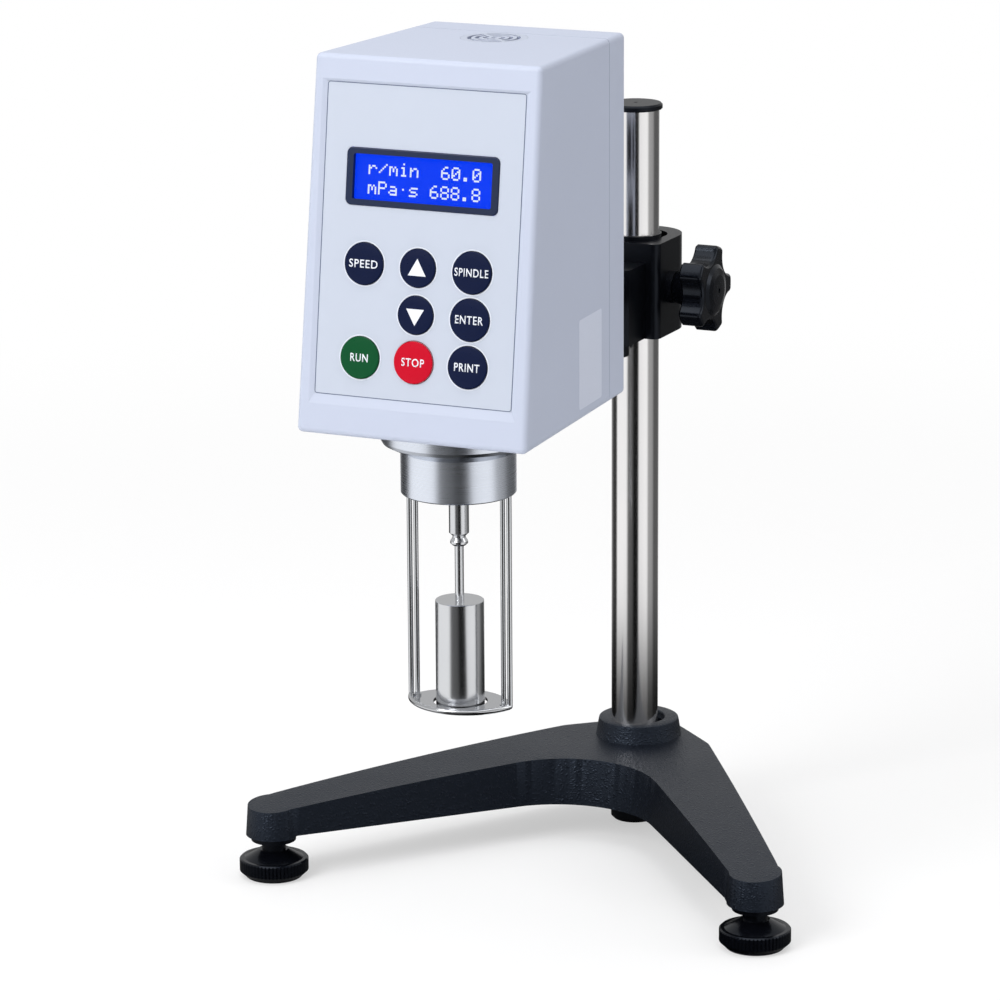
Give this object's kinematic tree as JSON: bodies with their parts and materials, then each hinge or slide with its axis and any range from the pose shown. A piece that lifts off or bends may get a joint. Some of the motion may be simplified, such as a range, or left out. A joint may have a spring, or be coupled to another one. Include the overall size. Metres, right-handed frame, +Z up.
{
  "type": "rotational viscometer",
  "caption": "Bench rotational viscometer: wedge-shaped head with display and round buttons on a column stand with V-shaped legs, levelling feet, spindle and wire guard.",
  "frame": {"origin": "on the table under the column's axis, at the middle of the rear foot's rest face", "axes": "+Z up, -Y towards the display and the operator, +X to the instrument's side with the star knob"},
  "size_m": [0.303, 0.3054, 0.4455],
  "materials": {
    "base_black": "black wrinkle powder coat",
    "column_steel": "polished round tube",
    "cap_black": "black moulding",
    "zinc_steel": "zinc plated",
    "foot_rubber": "black rubber",
    "foot_black": "black gloss coat",
    "bush_plastic": "black acetal",
    "clamp_black": "black satin coat",
    "brass": "turned",
    "knob_black": "gloss black moulding",
    "housing_grey": "fine satin",
    "vent_grey": "satin",
    "panel_blue": "printed film on plate",
    "bezel_grey": "satin",
    "lcd_glass": "clear window",
    "lcd_blue": "backlit blue",
    "board_green": "solder mask",
    "black_plastic": "moulded",
    "neck_aluminium": "satin turned",
    "polished_steel": "polished",
    "shaft_steel": "ground",
    "disc_black": "black anodised",
    "chassis_aluminium": "plate",
    "motor_metal": "enamelled",
    "port_metal": "nickel plated",
    "button_navy": "satin dome",
    "button_green": "satin dome",
    "button_red": "satin dome"
  },
  "bodies": {
    "stand": {"base_casting": "base_black", "column": "column_steel", "column_cap": "cap_black", "column_bolt": "zinc_steel", "column_washer": "zinc_steel", "rear_foot": "foot_rubber", "foot_inserts": "foot_black"},
    "left_pad": {"left_foot_pad": "foot_rubber"},
    "left_foot": {"left_foot_wheel": "foot_black"},
    "right_pad": {"right_foot_pad": "foot_rubber"},
    "right_foot": {"right_foot_wheel": "foot_black"},
    "slider": {"column_liner": "bush_plastic"},
    "head": {"clamp_block": "clamp_black", "support_arm": "clamp_black", "arm_screws": "zinc_steel", "arm_lock_screw": "clamp_black", "head_shell": "housing_grey", "rear_cover": "housing_grey", "cover_screws": "zinc_steel", "vent_grille": "vent_grey", "panel_plate": "panel_blue", "lcd_bezel": "bezel_grey", "lcd_window": "lcd_glass", "lcd_module": "lcd_blue", "keypad_board": "board_green", "key_switches": "black_plastic", "board_screws": "zinc_steel", "neck": "neck_aluminium", "neck_screws": "zinc_steel", "guard_wire": "polished_steel", "guard_plate": "polished_steel", "guard_posts": "polished_steel", "chassis_frame": "chassis_aluminium", "spindle_bearing": "shaft_steel", "tower_posts": "zinc_steel", "motor_plate": "chassis_aluminium", "drive_motor": "motor_metal", "main_board": "board_green", "power_inlet": "black_plastic", "switch_frame": "black_plastic", "serial_port": "port_metal"},
    "screw_pad": {"pressure_pad": "brass"},
    "clamp_knob": {"star_knob": "knob_black", "clamp_screw": "zinc_steel"},
    "drive": {"motor_shaft": "shaft_steel", "drive_disc": "disc_black", "hairspring": "shaft_steel"},
    "spindle_unit": {"spindle_shaft": "shaft_steel", "spindle_disc": "disc_black", "coupling_sleeve": "polished_steel", "spindle": "polished_steel"},
    "rocker": {"power_switch": "black_plastic"},
    "key_speed": {"button_speed": "button_navy"},
    "key_up": {"button_up": "button_navy"},
    "key_spindle": {"button_spindle": "button_navy"},
    "key_down": {"button_down": "button_navy"},
    "key_enter": {"button_enter": "button_navy"},
    "key_run": {"button_run": "button_green"},
    "key_stop": {"button_stop": "button_red"},
    "key_print": {"button_print": "button_navy"}
  },
  "joints": [
    {"name": "lift", "type": "slide", "parent": "stand", "child": "slider", "axis": [0, 0, 1], "range_m": [-0.11, 0.06]},
    {"name": "head_swivel", "type": "hinge", "parent": "slider", "child": "head", "pos_m": [0, 0, 0.2923], "axis": [0, 0, 1], "range_deg": [-25, 25]},
    {"name": "clamp_press", "type": "slide", "parent": "head", "child": "screw_pad", "axis": [1, 0, 0], "range_m": [0, 0.00252]},
    {"name": "clamp_turn", "type": "hinge", "parent": "screw_pad", "child": "clamp_knob", "pos_m": [0.04, 0, 0.2923], "axis": [1, 0, 0], "range_deg": [0, 720]},
    {"name": "drive_spin", "type": "hinge", "parent": "head", "child": "drive", "pos_m": [0, -0.218, 0.32], "axis": [0, 0, 1], "continuous": true},
    {"name": "spindle_deflect", "type": "hinge", "parent": "drive", "child": "spindle_unit", "pos_m": [0, -0.218, 0.25], "axis": [0, 0, 1], "range_deg": [-85, 85], "stiffness_Nm_per_rad": 0.000045},
    {"name": "power_rocker", "type": "hinge", "parent": "head", "child": "rocker", "pos_m": [0.03, -0.137, 0.345], "axis": [1, 0, 0], "range_deg": [0, 18]},
    {"name": "left_foot_lift", "type": "slide", "parent": "stand", "child": "left_pad", "axis": [0, 0, -1], "range_m": [-0.00303, 0.00604]},
    {"name": "left_foot_turn", "type": "hinge", "parent": "left_pad", "child": "left_foot", "pos_m": [-0.13361, -0.16266, 0.006], "axis": [0, 0, -1], "range_deg": [-720, 1440]},
    {"name": "right_foot_lift", "type": "slide", "parent": "stand", "child": "right_pad", "axis": [0, 0, -1], "range_m": [-0.00303, 0.00604]},
    {"name": "right_foot_turn", "type": "hinge", "parent": "right_pad", "child": "right_foot", "pos_m": [0.13361, -0.16266, 0.006], "axis": [0, 0, -1], "range_deg": [-720, 1440]},
    {"name": "press_speed", "type": "slide", "parent": "head", "child": "key_speed", "axis": [0, 0.9913, -0.1319], "range_m": [0, 0.0008], "stiffness_N_per_m": 1200, "springref_m": -0.0004},
    {"name": "press_up", "type": "slide", "parent": "head", "child": "key_up", "axis": [0, 0.9913, -0.1319], "range_m": [0, 0.0008], "stiffness_N_per_m": 1200, "springref_m": -0.0004},
    {"name": "press_spindle", "type": "slide", "parent": "head", "child": "key_spindle", "axis": [0, 0.9913, -0.1319], "range_m": [0, 0.0008], "stiffness_N_per_m": 1200, "springref_m": -0.0004},
    {"name": "press_down", "type": "slide", "parent": "head", "child": "key_down", "axis": [0, 0.9913, -0.1319], "range_m": [0, 0.0008], "stiffness_N_per_m": 1200, "springref_m": -0.0004},
    {"name": "press_enter", "type": "slide", "parent": "head", "child": "key_enter", "axis": [0, 0.9913, -0.1319], "range_m": [0, 0.0008], "stiffness_N_per_m": 1200, "springref_m": -0.0004},
    {"name": "press_run", "type": "slide", "parent": "head", "child": "key_run", "axis": [0, 0.9913, -0.1319], "range_m": [0, 0.0008], "stiffness_N_per_m": 1200, "springref_m": -0.0004},
    {"name": "press_stop", "type": "slide", "parent": "head", "child": "key_stop", "axis": [0, 0.9913, -0.1319], "range_m": [0, 0.0008], "stiffness_N_per_m": 1200, "springref_m": -0.0004},
    {"name": "press_print", "type": "slide", "parent": "head", "child": "key_print", "axis": [0, 0.9913, -0.1319], "range_m": [0, 0.0008], "stiffness_N_per_m": 1200, "springref_m": -0.0004}
  ],
  "couplings": [
    {"joint": "clamp_press", "follows": "clamp_turn", "m_per_rad": 0.00019894},
    {"joint": "left_foot_lift", "follows": "left_foot_turn", "m_per_rad": 0.00023873},
    {"joint": "right_foot_lift", "follows": "right_foot_turn", "m_per_rad": 0.00023873}
  ]
}
